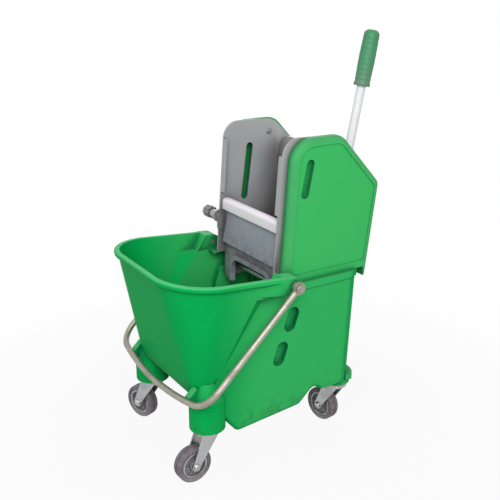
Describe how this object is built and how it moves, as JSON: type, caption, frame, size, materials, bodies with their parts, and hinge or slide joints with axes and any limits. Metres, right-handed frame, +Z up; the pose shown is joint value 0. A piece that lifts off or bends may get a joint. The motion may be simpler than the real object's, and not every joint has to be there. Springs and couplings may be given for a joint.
{
  "type": "mop bucket with wringer",
  "caption": "Wheeled mop bucket with a raked pouring prow, a deep belly well, a drop bail handle and a lever-pressed wringer between two tall cheeks.",
  "frame": {"origin": "on the floor, midway along the length and on the middle plane between the two cheeks", "axes": "+Z up, -Y towards the pouring prow, +X towards the cheek with the lever"},
  "size_m": [0.392, 0.5099, 0.854],
  "materials": {
    "tub_green": "glossy moulded green plastic",
    "cheek_green": "glossy moulded green plastic",
    "frame_grey": "satin grey moulded plastic",
    "lip_light": "satin pale grey plastic",
    "bail_steel": "zinc-plated round steel, satin",
    "bright_steel": "zinc-plated steel, satin",
    "lever_tube": "pale grey coated steel tube",
    "grip_green": "matt dark green moulded grip",
    "knob_grey": "matt dark grey plastic",
    "wheel_grey": "satin grey plastic wheel centre",
    "tyre": "matt grey rubber",
    "buffer": "matt black rubber"
  },
  "bodies": {
    "bucket": {"back_panel": "frame_grey", "bail_pin_left": "bright_steel", "bail_pin_right": "bright_steel", "caster_front_left_stem": "bright_steel", "caster_front_right_stem": "bright_steel", "caster_rear_left_stem": "bright_steel", "caster_rear_right_stem": "bright_steel", "cheek_cover_left": "cheek_green", "cheek_cover_right": "cheek_green", "cover_screws": "bright_steel", "drain_floor": "frame_grey", "front_wall": "frame_grey", "shaft_bush_left": "frame_grey", "shaft_bush_right": "frame_grey", "side_plate_left": "frame_grey", "side_plate_right": "frame_grey", "stop_buffer_left": "buffer", "stop_buffer_right": "buffer", "tie_rod_front": "bright_steel", "tie_rod_nuts": "bright_steel", "tie_rod_rear": "bright_steel", "tub": "tub_green", "wall_lip": "lip_light"},
    "press": {"press_shaft": "bright_steel", "press_plate": "frame_grey", "lever_socket": "frame_grey", "lever_tube": "lever_tube", "lever_grip": "grip_green"},
    "bail": {"bail_handle": "bail_steel"},
    "lock": {"lock_spindle": "bright_steel", "lock_knob": "knob_grey"},
    "swivel_front_right": {"caster_front_right_fork": "bright_steel", "caster_front_right_axle": "bright_steel"},
    "wheel_front_right": {"caster_front_right_wheel_core": "wheel_grey", "caster_front_right_tyre": "tyre"},
    "swivel_front_left": {"caster_front_left_fork": "bright_steel", "caster_front_left_axle": "bright_steel"},
    "wheel_front_left": {"caster_front_left_wheel_core": "wheel_grey", "caster_front_left_tyre": "tyre"},
    "swivel_rear_right": {"caster_rear_right_fork": "bright_steel", "caster_rear_right_axle": "bright_steel"},
    "wheel_rear_right": {"caster_rear_right_wheel_core": "wheel_grey", "caster_rear_right_tyre": "tyre"},
    "swivel_rear_left": {"caster_rear_left_fork": "bright_steel", "caster_rear_left_axle": "bright_steel"},
    "wheel_rear_left": {"caster_rear_left_wheel_core": "wheel_grey", "caster_rear_left_tyre": "tyre"}
  },
  "joints": [
    {"name": "press_swing", "type": "hinge", "parent": "bucket", "child": "press", "pos_m": [0, 0.148, 0.405], "axis": [1, 0, 0], "range_deg": [0, 38]},
    {"name": "bail_swing", "type": "hinge", "parent": "bucket", "child": "bail", "pos_m": [0, 0.002, 0.389], "axis": [-1, 0, 0], "range_deg": [0, 118]},
    {"name": "lock_turn", "type": "hinge", "parent": "bucket", "child": "lock", "pos_m": [-0.108, -0.001, 0.459], "axis": [-1, 0, 0], "range_deg": [0, 90]},
    {"name": "swivel_turn_front_right", "type": "hinge", "parent": "bucket", "child": "swivel_front_right", "pos_m": [0.123, -0.168, 0.11], "axis": [0, 0, 1], "continuous": true},
    {"name": "wheel_spin_front_right", "type": "hinge", "parent": "swivel_front_right", "child": "wheel_front_right", "pos_m": [0.12426, -0.20398, 0.0375], "axis": [0.9994, 0.0349, 0], "continuous": true},
    {"name": "swivel_turn_front_left", "type": "hinge", "parent": "bucket", "child": "swivel_front_left", "pos_m": [-0.123, -0.168, 0.11], "axis": [0, 0, 1], "continuous": true},
    {"name": "wheel_spin_front_left", "type": "hinge", "parent": "swivel_front_left", "child": "wheel_front_left", "pos_m": [-0.15683, -0.18031, 0.0375], "axis": [0.342, -0.9397, 0], "continuous": true},
    {"name": "swivel_turn_rear_right", "type": "hinge", "parent": "bucket", "child": "swivel_rear_right", "pos_m": [0.108, 0.166, 0.11], "axis": [0, 0, 1], "continuous": true},
    {"name": "wheel_spin_rear_right", "type": "hinge", "parent": "swivel_rear_right", "child": "wheel_rear_right", "pos_m": [0.07255, 0.15975, 0.0375], "axis": [0.1736, -0.9848, 0], "continuous": true},
    {"name": "swivel_turn_rear_left", "type": "hinge", "parent": "bucket", "child": "swivel_rear_left", "pos_m": [-0.108, 0.166, 0.11], "axis": [0, 0, 1], "continuous": true},
    {"name": "wheel_spin_rear_left", "type": "hinge", "parent": "swivel_rear_left", "child": "wheel_rear_left", "pos_m": [-0.09336, 0.13311, 0.0375], "axis": [0.9135, 0.4067, 0], "continuous": true}
  ]
}
